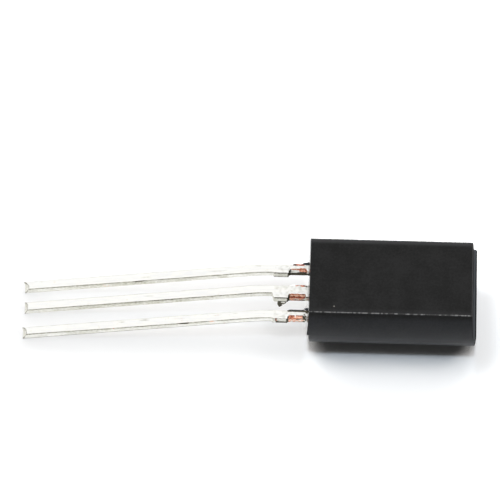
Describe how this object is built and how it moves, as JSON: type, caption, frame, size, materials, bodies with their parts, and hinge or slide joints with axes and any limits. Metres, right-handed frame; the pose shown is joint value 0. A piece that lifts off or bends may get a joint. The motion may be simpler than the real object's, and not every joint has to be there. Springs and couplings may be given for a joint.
{
  "type": "transistor in a long-body to-92 package",
  "caption": "Small black moulded transistor, flat in front and round behind, lying on its back with its tinned leads bent down to the table.",
  "frame": {"origin": "where the middle lead leaves the body, on the parting plane, which is also the upper face of the lead frame", "axes": "+X into the body, towards its top end; the leads run along -X; +Z is the normal of the flat front, upwards as the part lies on its round back; +Y towards the emitter"},
  "size_m": [0.022, 0.005, 0.004],
  "materials": {
    "black_epoxy": "fine matt moulded",
    "tinned_copper": "bright tin plate, bare copper where the necks were sheared",
    "silicon": "polished, dark grey",
    "solder": "dull solder",
    "gold_wire": "bright gold"
  },
  "bodies": {
    "root": {"moulded_body": "black_epoxy", "emitter_lead": "tinned_copper", "collector_lead": "tinned_copper", "base_lead": "tinned_copper", "silicon_die": "silicon", "die_solder": "solder", "emitter_bond_wire": "gold_wire", "base_bond_wire": "gold_wire"}
  },
  "joints": []
}
